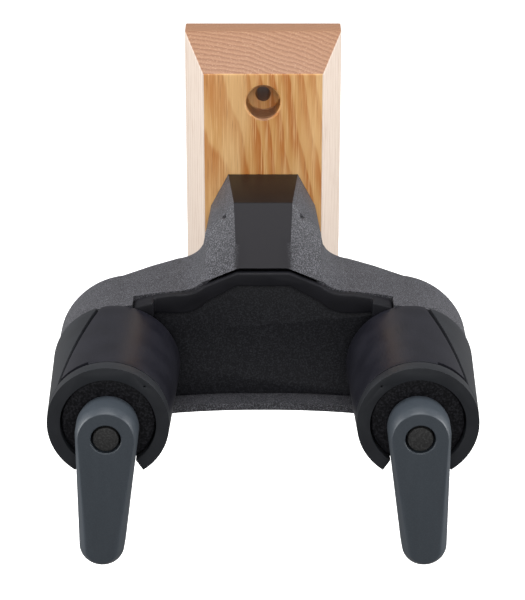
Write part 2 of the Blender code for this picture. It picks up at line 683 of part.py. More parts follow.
def arm_pieces(yoke, name, side):
    x = side * arm_x
    end_bore = bushing_bore + BUSHING_WALL - FIT_GAP
    end_back = tube_front - TUBE_END_WALL
    profile = [
        (end_bore, tube_front), (TUBE_RADIUS, tube_front), (TUBE_RADIUS, flange_front),
        (flange_radius, flange_front), (flange_radius, flange_back), (tube_bore, flange_back),
        (tube_bore, end_back), (end_bore, end_back),
    ]
    add(f"arm_tube_{name}", along_depth(turned_mesh("arm_tube", profile, 48), x, ARM_HEIGHT), "arm_black", yoke)
    rear = tube("rear_bushing", bushing_bore, tube_bore - FIT_GAP, flange_front, flange_front + BUSHING_LENGTH,
                x, ARM_HEIGHT)
    add(f"rear_bushing_{name}", rear, "bush_white", yoke)
    flange = end_back - FACE_GAP
    profile = [
        (bushing_bore, tube_front - FACE_GAP), (end_bore - FIT_GAP, tube_front - FACE_GAP),
        (end_bore - FIT_GAP, flange), (end_bore + BUSHING_FLANGE, flange),
        (end_bore + BUSHING_FLANGE, flange - BUSHING_FLANGE), (bushing_bore, flange - BUSHING_FLANGE),
    ]
    front = along_depth(turned_mesh("front_bushing", profile, 32), x, ARM_HEIGHT)
    add(f"front_bushing_{name}", front, "bush_white", yoke)
    sleeve_pieces(yoke, name, side)


def sleeve_radius(depth):
    share = (depth - sleeve_back) / SLEEVE_LENGTH
    return sleeve_radius_rear + (sleeve_radius_front - sleeve_radius_rear) * share


def seam_angle(depth):
    """The seam's angle from the top, outwards, where it runs diagonally over the arm."""
    share = (depth - sleeve_back) / (ring_back - sleeve_back)
    return SEAM_REAR + (SEAM_FRONT - SEAM_REAR) * share


def sector(side, start, stop, depth, steps):
    """A C-shaped section round the arm, between angles from the top that count outwards."""
    turns = [radians(start + (stop - start) * i / steps) for i in range(steps + 1)]

    def at(radius, turn):
        return (side * (arm_x + radius * sin(turn)), ARM_HEIGHT + radius * cos(turn))

    return [at(sleeve_radius(depth), a) for a in turns] + [at(sleeve_bore, a) for a in reversed(turns)]


def sleeve_pieces(yoke, name, side):
    """A moulded sleeve with a ring at its front, and the soft pad let into its top and inner side."""
    end = 180.0 - SLEEVE_OPENING
    split = degrees(PAD_SLOT / sleeve_radius_front) / 2
    stations = [sleeve_back + (ring_back - sleeve_back) * i / 6 for i in range(7)]
    pad = [(d, sector(side, seam_angle(d) - split, -end, d, 22)) for d in stations]
    pad[-1] = (ring_back - PAD_SLOT, pad[-1][1])
    add(f"arm_pad_{name}", loft("arm_pad", pad), "pad_black", yoke)
    shell = [(d, sector(side, seam_angle(d) + split, end, d, 14)) for d in stations]
    shell[-1] = (ring_back + BEYOND, shell[-1][1])
    sleeve = add(f"arm_sleeve_{name}", loft("arm_sleeve", shell), "sleeve_grey", yoke)
    ring = loft("ring", [(ring_back, sector(side, end, -end, ring_back, 32)),
                         (sleeve_front, sector(side, end, -end, sleeve_front, 32))])
    combine(sleeve, ring, "UNION")


# ---- gates ----

def capsule(first, first_radius, second, second_radius, steps=10):
    """Outline round two circles, its straight sides tangent to both."""
    (ax, az), (bx, bz) = first, second
    length = ((bx - ax) ** 2 + (bz - az) ** 2) ** 0.5
    way = degrees(atan2(bz - az, bx - ax))
    lean = degrees(atan2(first_radius - second_radius, length))
    outline = arc(ax, az, first_radius, way + 90 - lean, way + 270 + lean, steps)
    return outline + arc(bx, bz, second_radius, way - 90 + lean, way + 90 - lean, steps)


def lever_outline(inset, tilt):
    foot = LEVER_REACH - LEVER_TIP_RADIUS
    tip = (foot * sin(tilt), -foot * cos(tilt))
    return capsule((0.0, 0.0), LEVER_RADIUS - inset * 0.4, tip, LEVER_TIP_RADIUS - inset)


def gate(yoke, name, side):
    """One gate: lever, shaft, crank, crank pin, washer and ring, all built about the arm's axis."""
    axis = bpy.data.objects.new(f"{name}_gate_axis", None)
    PARTS.objects.link(axis)
    axis.parent = yoke
    axis.location = (side * arm_x, 0.0, ARM_HEIGHT)
    tilt = side * radians(LEVER_TILT)
    edge = lever_front - LEVER_EDGE
    body = [(lever_back, lever_outline(0.3 * MM, tilt)), (lever_back + MM, lever_outline(0.0, tilt)),
            (edge, lever_outline(LEVER_HUB_STEP, tilt)), (lever_front, lever_outline(LEVER_EDGE, tilt))]
    lever = add(f"gate_lever_{name}", loft("gate_lever", body), "lever_blue", axis)
    hub = rod("hub", LEVER_RADIUS - LEVER_HUB_STEP, hub_back, lever_back + SLIDE_GAP, steps=32)
    combine(lever, hub, "UNION")
    combine(lever, rod("bore", SHAFT_RADIUS + LEVER_BORE_GAP, hub_back - BEYOND, lever_front + BEYOND))
    crank_parts(axis, name, side)
    groove = flange_front + BUSHING_LENGTH + FACE_GAP
    groove_end = groove + RING_THICKNESS + FACE_GAP
    front = lever_front - SHAFT_RECESS
    profile = [
        (0.0, front), (SHAFT_RADIUS, front),
        (SHAFT_RADIUS, groove_end), (shaft_tail_radius, groove_end),
        (shaft_tail_radius, groove - FACE_GAP), (SHAFT_RADIUS, groove - FACE_GAP),
        (SHAFT_RADIUS, washer_back), (shaft_tail_radius, washer_back),
        (shaft_tail_radius, crank_back), (0.0, crank_back),
    ]
    add(f"gate_shaft_{name}", along_depth(turned_mesh("gate_shaft", profile, 24)), "shaft_black", axis)
    ring = tube("ring", shaft_tail_radius + FIT_GAP, SHAFT_RADIUS + RETAINING_RING_WIDTH, groove,
                groove + RING_THICKNESS, steps=24)
    add(f"retaining_ring_{name}", ring, "steel", axis)
    washer = tube("washer", SHAFT_RADIUS + FIT_GAP, SHAFT_RADIUS + WASHER_WIDTH, washer_back, washer_front,
                  steps=24)
    add(f"crank_washer_{name}", washer, "bush_white", axis)


def crank_parts(axis, name, side):
    swing = radians(CRANK_SWING)
    pin_at = (-side * crank_radius * cos(swing), -crank_radius * sin(swing))
    shape = capsule((0.0, 0.0), shaft_tail_radius + CRANK_BOSS_WALL, pin_at, CRANK_PIN_RADIUS + CRANK_EYE_WALL)
    crank = add(f"crank_{name}", prism("crank", shape, crank_back, crank_front), "steel", axis)
    combine(crank, rod("bore", shaft_tail_radius + FIT_GAP, crank_back - BEYOND, crank_front + BEYOND))
    combine(crank, rod("hole", CRANK_PIN_RADIUS + FIT_GAP, crank_back - BEYOND, crank_front + BEYOND, *pin_at))
    pin = rod("crank_pin", CRANK_PIN_RADIUS, bar_back, crank_front, *pin_at, steps=20)
    add(f"crank_pin_{name}", pin, "steel", axis)


# ---- the hanger ----

clear_scene()
PARTS = collection("guitar_hanger")
TOOLS = collection("cutters")
MATERIALS = {
    "ash": material("ash", (0.66, 0.40, 0.19), 0.55),
    "neck_black": material("neck_black", (0.032, 0.026, 0.025), 0.45),
    "cover_grey": material("cover_grey", (0.075, 0.075, 0.08), 0.55),
    "plate_black": material("plate_black", (0.022, 0.022, 0.025), 0.6),
    "band_black": material("band_black", (0.02, 0.02, 0.024), 0.5),
    "arm_black": material("arm_black", (0.022, 0.022, 0.024), 0.65),
    "sleeve_grey": material("sleeve_grey", (0.045, 0.048, 0.052), 0.6),
    "pad_black": material("pad_black", (0.03, 0.03, 0.036), 0.5),
    "lever_blue": material("lever_blue", (0.045, 0.058, 0.072), 0.45),
    "shaft_black": material("shaft_black", (0.03, 0.03, 0.03), 0.7),
    "bush_white": material("bush_white", (0.75, 0.74, 0.70), 0.4),
    "steel": material("steel", (0.55, 0.56, 0.57), 0.3, 1.0),
}
YOKE = bpy.data.objects.new("yoke_slide", None)
PARTS.objects.link(YOKE)
wood_base()
base_screws()
neck_bracket()
guide_rods()
drive_bar()
return_springs()
yoke_cover(YOKE)
yoke_pad(YOKE)
front_plate(YOKE)
cover_screws(YOKE)
carriage(YOKE)
slide_pieces(YOKE)
for side_name, sign in (("left", -1), ("right", 1)):
    arm_pieces(YOKE, side_name, sign)
    gate(YOKE, side_name, sign)
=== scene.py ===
"""Looks of the wall guitar hanger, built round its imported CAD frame.

Metres, +Z up. The wall is the plane Y = 0 and the hanger stands out towards -Y; "depth" is -Y.
"""
import json
from math import atan2, cos, degrees, pi, radians, sin

import bmesh
import bpy
from mathutils import Matrix, Vector


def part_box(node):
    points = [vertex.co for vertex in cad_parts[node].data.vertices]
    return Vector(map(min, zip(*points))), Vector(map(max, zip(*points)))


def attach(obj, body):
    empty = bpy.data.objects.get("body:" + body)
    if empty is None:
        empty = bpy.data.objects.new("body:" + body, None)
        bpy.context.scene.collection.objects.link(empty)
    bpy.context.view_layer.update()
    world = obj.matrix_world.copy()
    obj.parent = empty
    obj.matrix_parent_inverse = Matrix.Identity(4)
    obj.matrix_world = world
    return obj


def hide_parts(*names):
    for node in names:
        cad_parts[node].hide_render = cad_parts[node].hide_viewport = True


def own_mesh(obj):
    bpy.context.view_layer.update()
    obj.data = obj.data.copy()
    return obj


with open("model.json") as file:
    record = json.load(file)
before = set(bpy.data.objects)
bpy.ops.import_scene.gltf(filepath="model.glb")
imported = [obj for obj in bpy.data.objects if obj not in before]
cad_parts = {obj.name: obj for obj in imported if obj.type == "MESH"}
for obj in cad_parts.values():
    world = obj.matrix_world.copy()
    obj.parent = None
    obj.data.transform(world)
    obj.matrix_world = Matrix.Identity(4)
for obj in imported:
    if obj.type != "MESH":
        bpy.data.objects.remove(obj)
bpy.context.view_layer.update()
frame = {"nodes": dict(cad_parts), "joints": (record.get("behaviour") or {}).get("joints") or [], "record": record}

MM = 0.001

# ---- places read from the frame ----
wood_low, wood_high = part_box("wood_base")
neck_low, neck_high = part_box("neck_bracket")
cover_low, cover_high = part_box("yoke_cover")
plate_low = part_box("front_plate")[0]
band_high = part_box("yoke_pad")[1]
tube_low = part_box("arm_tube_right")[0]
sleeve_low, sleeve_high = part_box("arm_sleeve_right")
lever_low, lever_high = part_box("gate_lever_right")
shaft_low, shaft_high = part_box("gate_shaft_right")
cover_screw_low, cover_screw_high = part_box("cover_screw_right")
base_screw_boxes = [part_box("base_screw_upper"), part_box("base_screw_lower")]

wood_half = wood_high[0]
wood_top = wood_high[2]
wood_front = -wood_low[1]
neck_front = -neck_low[1]
cover_back = -cover_high[1]
pod_front = -cover_low[1]
plate_front = -plate_low[1]
band_back = -band_high[1]
arm_x = (shaft_low[0] + shaft_high[0]) / 2
arm_z = (shaft_low[2] + shaft_high[2]) / 2
shaft_radius = (shaft_high[0] - shaft_low[0]) / 2
tube_front = -tube_low[1]
sleeve_back = -sleeve_high[1]
sleeve_front = -sleeve_low[1]
rear_radius = sleeve_high[0] - arm_x
pod_radius = cover_high[0] - arm_x
hub_back = -lever_high[1]
lever_front = -lever_low[1]
lever_reach = arm_z - lever_low[2]
cover_screw_x = (cover_screw_low[0] + cover_screw_high[0]) / 2
cover_screw_z = (cover_screw_low[2] + cover_screw_high[2]) / 2
base_screw_heights = [(low[2] + high[2]) / 2 for low, high in base_screw_boxes]

# ---- sizes of the visible detail ----
BEYOND = 1.0 * MM                # how far a cutter runs past a face
FIT = 0.3 * MM
FLOOR_HEIGHT = -0.30

# wooden base
WOOD_EDGE = 10.0 * MM
WOOD_SIDE_BEVEL = 6.2 * MM
WOOD_END_BEVEL = 9.2 * MM
HOLE_INSET = 18.75 * MM          # from the base's end to the wall-screw hole
HOLE_RADIUS = 2.5 * MM
COUNTERBORE_RADIUS = 5.5 * MM
COUNTERBORE_DEPTH = 10.0 * MM
COUNTERBORE_FILLET = 0.4 * MM
COUNTERBORE_LIP = 0.6 * MM
BASE_SCREW_HOLE = 2.3 * MM       # radius
BASE_SCREW_POCKET = 4.3 * MM     # radius
BASE_SCREW_SINK = 6.0 * MM

# hood and shell
NECK_TOP_HALF = 11.3 * MM
NECK_FRONT_HALF = 9.3 * MM
NECK_SHOULDER = 1.0 * MM
SEAM_GAP = 0.5 * MM
CREST_TOP = 2.7 * MM
CREST_HALF = 8.2 * MM
CREST_FALL = 4.4 * MM            # from the crest to the corner beside it
CORNER_X = 18.3 * MM             # |X| of that corner at the front
SHOULDER_X = 28.0 * MM           # |X| where the hollow side runs into the shoulder
SHOULDER_TOP = -4.3 * MM
SHELL_FRONT = 66.0 * MM
SHELL_WALL = 2.6 * MM
SHELL_BOTTOM = -42.4 * MM
SHELL_ROUNDING = 6.0 * MM        # of the shell's rear edge
PLATE_THICKNESS = 3.5 * MM
BROW_INSET = 10.0 * MM           # from an arm's axis to the point where shoulder and pod blend
BROW_SHARE = 0.38                # how far that point has risen or sunk towards the pod's top
FLOOR_INSET = 19.0 * MM          # from an arm's axis to where the underside starts
POD_START = 92.0                 # degrees round the arm where the pod begins and ends
POD_STOP = -100.0
WING_START = 27.8 * MM
WING_SWEEP = 0.48
WING_SWEEP_END = 26.0 * MM
WING_CUTS = 9
WING_CUT_SPACING = 4.5 * MM
COVER_SCREW_HOLE = 1.8 * MM      # radius
COVER_SCREW_DEPTH = 9.0 * MM
NOTCH_X = 12.6 * MM
NOTCH_HALF = 0.9 * MM
NOTCH_LOW = 15.2 * MM
NOTCH_HIGH = 18.6 * MM
NOTCH_DEPTH = 1.6 * MM
CLEAR_LOW = -60.0 * MM           # heights that clear the whole yoke
CLEAR_HIGH = 20.0 * MM

# soft band
BAND_HEIGHTS = (4.4, 5.6, 6.4, 5.0, 3.0)   # in millimetres, from the middle outwards
BAND_HALF = 40.5 * MM
BAND_EAR_INSET = 11.8 * MM       # from an arm's axis to where the band's ear starts

# arms
FRONT_RADIUS = 18.2 * MM
TUBE_RADIUS = 14.0 * MM
TUBE_BORE = 6.3 * MM
TUBE_HOLLOW = 11.8 * MM
TUBE_END_WALL = 3.0 * MM
FLANGE_RADIUS = 16.0 * MM
FLANGE_DEPTH = 2.1 * MM          # behind the front plate
RING_LENGTH = 4.2 * MM
SLEEVE_OPENING = 34.0            # degrees from straight down to each edge of the opening
SEAM_REAR = 15.0                 # degrees from straight up to the seam
SEAM_FRONT = 53.0
SEAM_HALF = 0.75 * MM            # half of the seam's width
SLOT_END = 18.0                  # degrees from straight up
SLOT_WIDTH = 1.9 * MM
SLOT_BED = 1.2 * MM              # soft pad left over the tube
RING_SLIT = 0.45 * MM            # between the pad and the front ring
VENT_ANGLE = -42.0               # degrees from straight up, towards the other arm
VENT_REACH = 16.6 * MM
VENT_RADIUS = 0.35 * MM
VENT_DEPTH = 1.2 * MM
STATIONS = 14                    # sections along an arm

# gates
LEVER_RADIUS = 9.35 * MM
LEVER_TIP_RADIUS = 6.9 * MM
LEVER_TILT = 3.6                 # degrees outwards from straight down
LEVER_STAND_OFF = 2.1 * MM       # hub that lifts the lever off the tube
LEVER_CHAMFER = 2.2 * MM
SHAFT_RECESS = 0.65 * MM

# springs
SPRING_WIRE = 0.5 * MM           # radius
SPRING_TURNS = 6.0

plate_back = plate_front - PLATE_THICKNESS
seam_depth = neck_front + SEAM_GAP
ring_back = sleeve_front - RING_LENGTH


# ---- shader maths ----

class Socket:
    """A shader socket, so that maths on it reads as Python."""

    def __init__(self, finish, socket):
        self.finish = finish
        self.socket = socket

    def maths(self, operation, first, second=0.0, third=0.0):
        return self.finish.node("Math", {"operation": operation}, first, second, third)

    def __add__(self, other):
        return self.maths("ADD", self, other)

    def __sub__(self, other):
        return self.maths("SUBTRACT", self, other)

    def __mul__(self, other):
        return self.maths("MULTIPLY", self, other)

    def __truediv__(self, other):
        return self.maths("DIVIDE", self, other)

    def __rtruediv__(self, other):
        return self.maths("DIVIDE", other, self)

    def __radd__(self, other):
        return self.maths("ADD", other, self)

    def __rsub__(self, other):
        return self.maths("SUBTRACT", other, self)

    def __rmul__(self, other):
        return self.maths("MULTIPLY", other, self)

    def __abs__(self):
        return self.maths("ABSOLUTE", self)

    def root(self):
        return self.maths("SQRT", self)

    def fraction(self):
        return self.maths("FRACT", self)

    def between(self, low, high):
        """0 below low, 1 above high, and smooth in between."""
        settings = {"interpolation_type": "SMOOTHSTEP"}
        return self.finish.node("MapRange", settings, self, low, high, 0.0, 1.0)


class Finish:
    """A material whose nodes are made by one method and whose maths is written as expressions."""

    def __init__(self, name, roughness, metallic=0.0, **uniform):
        self.material = bpy.data.materials.new(name)
        self.material.use_nodes = True
        self.tree = self.material.node_tree
        self.shader = self.tree.nodes["Principled BSDF"]
        self.shader.inputs["Roughness"].default_value = roughness
        self.shader.inputs["Metallic"].default_value = metallic
        for socket, value in uniform.items():
            self.shader.inputs[socket.replace("_", " ")].default_value = value
        coordinates = Socket(self, self.tree.nodes.new("ShaderNodeTexCoord").outputs["Object"])
        self.place = self.node("VectorMath", {"operation": "SCALE"}, coordinates, Scale=1 / MM)

    def node(self, kind, settings, *values, output=0, **named):
        """Adds a node, makes its settings, then gives its sockets values or links. Returns an output."""
        made = self.tree.nodes.new("ShaderNode" + kind)
        for key, value in settings.items():
            setattr(made, key, value)
        for socket, value in zip(made.inputs, values):
            self.feed(socket, value)
        for key, value in named.items():
            self.feed(made.inputs[key], value)
        return Socket(self, made.outputs[output])

    def feed(self, socket, value):
        if isinstance(value, Socket):
            self.tree.links.new(value.socket, socket)
        elif value is not None:
            socket.default_value = value

    def axes(self):
        """X, Y and Z of the point in millimetres."""
        split = self.node("SeparateXYZ", {}, self.place).socket.node
        return [Socket(self, split.outputs[i]) for i in range(3)]

    def noise(self, stretch, detail=2.0, roughness=0.5):
        """Noise with this many features a millimetre along X, Y and Z."""
        spot = self.node("VectorMath", {"operation": "MULTIPLY"}, self.place, stretch)
        return self.node("TexNoise", {}, Vector=spot, Scale=1.0, Detail=detail, Roughness=roughness)

    def mix(self, low, high, share):
        """The colour low where share is 0 and the colour high where it is 1."""
        made = self.tree.nodes.new("ShaderNodeMix")
        made.data_type = "RGBA"
        for socket, value in ((made.inputs[0], share), (made.inputs[6], low), (made.inputs[7], high)):
            self.feed(socket, (*value, 1.0) if isinstance(value, tuple) else value)
        return Socket(self, made.outputs[2])

    def colour(self, value):
        self.feed(self.shader.inputs["Base Color"], (*value, 1.0) if isinstance(value, tuple) else value)

    def rough(self, value):
        self.feed(self.shader.inputs["Roughness"], value)

    def bump(self, height, strength, distance):
        made = self.tree.nodes.new("ShaderNodeBump")
        made.inputs["Strength"].default_value = strength
        made.inputs["Distance"].default_value = distance
        self.feed(made.inputs["Height"], height)
        self.tree.links.new(made.outputs["Normal"], self.shader.inputs["Normal"])


# ---- finishes ----

def ash_wood():
    """Flat-sawn ash: growth rings round a leaning axis in front of the block, fibres along Z; the side faces carry
    a painted highlight.
    """
    wood = Finish("ash_wood", 0.5, Coat_Weight=0.08, Coat_Roughness=0.35)
    x, y, z = wood.axes()
    sway = wood.noise((0.045, 0.045, 0.013), 3.0)
    ripple = wood.noise((0.35, 0.35, 0.03), 3.0, 0.6)
    heart_across, heart_deep, lean, ring_spacing = 34.0, 150.0, 0.16, 1.75
    swell = wood.noise((0.06, 0.06, 0.02), 2.0)
    across = x + lean * z + heart_across + 11.0 * (sway - 0.5)
    deep = y + heart_deep + 3.0 * (swell - 0.5) + 0.9 * (ripple - 0.5)
    radius = (across * across + deep * deep).root()
    ring = (radius / ring_spacing).fraction()
    late = ring.between(0.15, 0.8) * (1.0 - ring.between(0.86, 1.0))
    fibre = wood.noise((2.2, 2.2, 0.05), 3.0, 0.65)
    pore = wood.noise((3.4, 3.4, 0.10), 2.0).between(0.56, 0.72)
    patch = wood.noise((0.13, 0.13, 0.018), 2.0).between(0.38, 0.62)
    normal = wood.node("NewGeometry", {}, output=1)
    parts = wood.node("SeparateXYZ", {}, normal).socket.node
    end_grain = abs(Socket(wood, parts.outputs[2])).between(0.5, 0.8)
    # The mask below picks the side faces, which get a pale painted highlight for the strong side light.
    side_glare = abs(Socket(wood, parts.outputs[0])).between(0.2, 0.3) * abs(x).between(15.0, 16.0)
    plain = wood.mix((0.76, 0.45, 0.185), (0.64, 0.32, 0.095), patch)
    face = wood.mix(plain, (0.50, 0.165, 0.025), late * (0.4 + 0.6 * patch))
    face = wood.mix(face, (0.90, 0.60, 0.29), fibre.between(0.48, 0.72) * 0.55)
    face = wood.mix(face, (0.34, 0.12, 0.03), pore * (0.2 + 0.4 * late))
    # Painted highlight: the side faces' pale colour stands for the strong side light; the ring and pore marks on
    # it are real grain.
    side = wood.mix((0.66, 0.56, 0.48), (0.44, 0.31, 0.23), late * 0.35 + pore * 0.65)
    speck = wood.noise((2.4, 2.4, 2.4), 2.0)
    end = wood.mix((0.36, 0.185, 0.10), (0.23, 0.098, 0.047), late * 0.75)
    end = wood.mix(end, (0.48, 0.29, 0.18), speck.between(0.52, 0.72) * 0.65)
    wood.colour(wood.mix(wood.mix(face, side, side_glare), end, end_grain))
    wood.rough(0.42 + 0.2 * fibre)
    wood.bump(0.6 * fibre - 0.5 * pore + 0.25 * speck, 0.25, 0.2 * MM)
    return wood.material


def hood_mask(finish, axes):
    """1 on the smooth top and front facets of the hood, and 0 on the grained sides."""
    x, _, z = axes
    normal = finish.node("NewGeometry", {}, output=1)
    parts = finish.node("SeparateXYZ", {}, normal).socket.node
    side = abs(Socket(finish, parts.outputs[0]))
    near = 1.0 - abs(x).between(NECK_TOP_HALF / MM - 0.2, NECK_TOP_HALF / MM)
    return near * (1.0 - side.between(0.12, 0.3)) * z.between(1.5, 2.5)


def grained_plastic(name, dark, light, roughness, grains=2.7, depth=0.12, smooth=None, shine=0.5):
    """Moulded plastic with a spark-eroded grain. The hood's facets are left smooth where asked."""
    made = Finish(name, roughness, Specular_IOR_Level=shine)
    grain = made.noise((grains, grains, grains), 3.0, 0.7)
    coarse = made.noise((grains / 9, grains / 9, grains / 9), 2.0)
    share = grain.between(0.44, 0.66) * 0.85 + coarse * 0.15
    tone = made.mix(dark, light, share)
    height = grain
    if smooth:
        mask = hood_mask(made, made.axes())
        tone = made.mix(tone, smooth, mask)
        height = grain * (1.0 - mask)
        made.rough(roughness - 0.12 * mask + 0.1 * grain)
    else:
        made.rough(roughness - 0.06 + 0.14 * grain)
    made.colour(tone)
    made.bump(height, 0.55, depth * MM)
    return made.material


def soft_skin(name, dark, light, roughness, shine):
    """Smooth elastomer or foam skin with faint clouding and a very fine texture."""
    made = Finish(name, roughness, Specular_IOR_Level=shine)
    cloud = made.noise((0.12, 0.12, 0.12), 3.0)
    fine = made.noise((4.0, 4.0, 4.0), 2.0)
    made.colour(made.mix(dark, light, 0.6 * cloud.between(0.3, 0.7) + 0.4 * fine))
    made.rough(roughness - 0.08 + 0.16 * cloud)
    made.bump(fine, 0.18, 0.06 * MM)
    return made.material


def lever_plastic():
    """Satin blue-grey nylon with a faint flow pattern along the lever."""
    made = Finish("lever_plastic", 0.42)
    flow = made.noise((0.5, 0.5, 0.08), 3.0)
    fine = made.noise((3.5, 3.5, 3.5), 3.0, 0.65)
    share = 0.5 * flow + 0.5 * fine.between(0.35, 0.7)
    made.colour(made.mix((0.033, 0.042, 0.053), (0.052, 0.063, 0.076), share))
    made.rough(0.36 + 0.14 * fine)
    made.bump(fine, 0.22, 0.06 * MM)
    return made.material


def zinc_steel():
    """Bright zinc plating with faint stains and brushing."""
    made = Finish("zinc_steel", 0.3, 1.0)
    stain = made.noise((0.3, 0.3, 0.3), 3.0)
    brush = made.noise((6.0, 6.0, 0.4), 2.0)
    made.colour(made.mix((0.50, 0.51, 0.52), (0.68, 0.68, 0.66), stain))
    made.rough(0.22 + 0.2 * brush)
    made.bump(brush, 0.1, 0.03 * MM)
    return made.material


def acetal():
    """Off-white bearing plastic."""
    made = Finish("acetal", 0.4, Subsurface_Weight=0.08)
    fine = made.noise((1.2, 1.2, 1.2), 3.0)
    made.colour(made.mix((0.70, 0.69, 0.64), (0.80, 0.79, 0.75), fine))
    made.rough(0.34 + 0.12 * fine)
    made.bump(fine, 0.1, 0.05 * MM)
    return made.material


FINISHES = {
    "ash": ash_wood(),
    "neck_black": grained_plastic("neck_plastic", (0.015, 0.015, 0.018), (0.15, 0.15, 0.168), 0.5,
                                  smooth=(0.003, 0.001, 0.001), shine=0.3),
    "cover_grey": grained_plastic("cover_plastic", (0.015, 0.015, 0.018), (0.15, 0.15, 0.168), 0.5,
                                  smooth=(0.006, 0.005, 0.008), shine=0.3),
    # Painted shade: the wall is the cover's plastic painted much darker for the shade on the wall set back between
    # the arms.
    "plate_black": grained_plastic("plate_plastic_shaded", (0.005, 0.005, 0.007), (0.026, 0.027, 0.032), 0.6, 2.4,
                                   shine=0.22),
    "band_black": soft_skin("band_rubber", (0.005, 0.005, 0.007), (0.009, 0.009, 0.012), 0.5, 0.18),
    "arm_black": grained_plastic("arm_plastic", (0.001, 0.001, 0.002), (0.022, 0.022, 0.026), 0.6, 1.5, 0.2,
                                 shine=0.15),
    "sleeve_grey": soft_skin("sleeve_rubber", (0.011, 0.012, 0.015), (0.018, 0.020, 0.024), 0.5, 0.3),
    "pad_black": soft_skin("pad_foam", (0.006, 0.006, 0.010), (0.012, 0.012, 0.018), 0.4, 0.3),
    "lever_blue": lever_plastic(),
    "shaft_black": grained_plastic("shaft_coating", (0.006, 0.006, 0.006), (0.035, 0.035, 0.035), 0.6, 1.5,
                                   0.25),
    "bush_white": acetal(),
    "steel": zinc_steel(),
}


# ---- mesh tools ----

def to_mesh(bm, name):
    bmesh.ops.recalc_face_normals(bm, faces=bm.faces)
    mesh = bpy.data.meshes.new(name)
    bm.to_mesh(mesh)
    bm.free()
    return mesh


def loft(name, sections):
    """A solid through sections of equally many points: each section is (depth, [(x, z), ...])."""
    bm = bmesh.new()
    rings = [[bm.verts.new((x, -depth, z)) for x, z in outline] for depth, outline in sections]
    for near, far in zip(rings, rings[1:]):
        for i in range(len(near)):
            j = (i + 1) % len(near)
            bm.faces.new((near[i], near[j], far[j], far[i]))
    bm.faces.new(rings[0])
    bm.faces.new(rings[-1])
    return to_mesh(bm, name)


def turned(name, profile, x=0.0, z=0.0, steps=96):
    """Spin a closed profile of (radius, depth) about an axis that runs out from the wall at (x, z)."""
    bm = bmesh.new()
    points = [bm.verts.new((radius, -depth, 0.0)) for radius, depth in profile]
    edges = [bm.edges.new((points[i], points[(i + 1) % len(points)])) for i in range(len(points))]
    bmesh.ops.spin(bm, geom=points + edges, cent=(0, 0, 0), axis=(0, 1, 0), angle=2 * pi, steps=steps,
                   use_merge=True)
    bmesh.ops.remove_doubles(bm, verts=bm.verts, dist=0.00001)
    bmesh.ops.dissolve_degenerate(bm, edges=bm.edges, dist=0.000005)
    bmesh.ops.translate(bm, verts=bm.verts, vec=(x, 0.0, z))
    return to_mesh(bm, name)


def block(name, low, high):
    """A box between two corners given as (x, depth, z)."""
    bm = bmesh.new()
    size = [high[i] - low[i] for i in range(3)]
    middle = [(high[i] + low[i]) / 2 for i in range(3)]
    place = Matrix.Translation((middle[0], -middle[1], middle[2])) @ Matrix.Diagonal((*size, 1.0))
    bmesh.ops.create_cube(bm, size=1.0, matrix=place)
    return to_mesh(bm, name)


def new_object(name, mesh):
    thing = bpy.data.objects.new(name, mesh)
    bpy.context.scene.collection.objects.link(thing)
    return thing


def applied(thing):
    """Turns an object's modifiers into its plain mesh."""
    bpy.context.view_layer.update()
    mesh = bpy.data.meshes.new_from_object(thing.evaluated_get(bpy.context.evaluated_depsgraph_get()))
    thing.modifiers.clear()
    thing.data = mesh


def combine(thing, mesh, operation="DIFFERENCE"):
    """Cuts a closed mesh away from a thing, or joins it on."""
    tool = new_object("tool", mesh)
    change = thing.modifiers.new("Boolean", "BOOLEAN")
    change.operation = operation
    change.solver = "EXACT"
    change.object = tool
    applied(thing)
    bpy.data.objects.remove(tool, do_unlink=True)


def ease(thing, width, segments, angle):
    """Rounds every edge that turns by more than an angle."""
    bevel = thing.modifiers.new("Bevel", "BEVEL")
    bevel.width = width
    bevel.segments = segments
    bevel.limit_method = "ANGLE"
    bevel.angle_limit = radians(angle)
    applied(thing)


def merged_copy(node):
    """A CAD node's mesh with its corners joined and its flat faces whole again."""
    bm = bmesh.new()
    bm.from_mesh(frame["nodes"][node].data)
    bmesh.ops.remove_doubles(bm, verts=bm.verts, dist=0.00001)
    bmesh.ops.dissolve_limit(bm, angle_limit=radians(1.0), verts=bm.verts, edges=bm.edges)
    mesh = bpy.data.meshes.new(node)
    bm.to_mesh(mesh)
    bm.free()
    return mesh


def finish_piece(thing, body, slot, nodes, sharp):
    """Gives a finished piece its material, shading and body, and hides the CAD nodes that it stands for."""
    thing.data.materials.clear()
    thing.data.materials.append(FINISHES[slot])
    thing.data.shade_smooth()
    thing.data.set_sharp_from_angle(angle=radians(sharp))
    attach(thing, body)
    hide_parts(*nodes)


def arc(x, z, radius, start, stop, steps):
    """Points on a circle about (x, z), from one angle to another."""
    angles = [radians(start + (stop - start) * i / steps) for i in range(steps + 1)]
    return [(x + radius * cos(a), z + radius * sin(a)) for a in angles]


def bend(first, middle, last, steps):
    """Points on a smooth curve from first to last, drawn towards middle; first itself is left out."""
    points = []
    for i in range(1, steps + 1):
        t = i / steps
        points.append(tuple((1 - t) ** 2 * a + 2 * t * (1 - t) * b + t * t * c
                            for a, b, c in zip(first, middle, last)))
    return points


def spread(first, last, steps):
    """Even points on a straight line from first to last; first itself is left out."""
    return [tuple(a + (b - a) * i / steps for a, b in zip(first, last)) for i in range(1, steps + 1)]


def mirrored(half):
    """A closed outline from its right half, which runs from top to bottom."""
    return half + [(-x, z) for x, z in reversed(half)]


# ---- wooden base ----

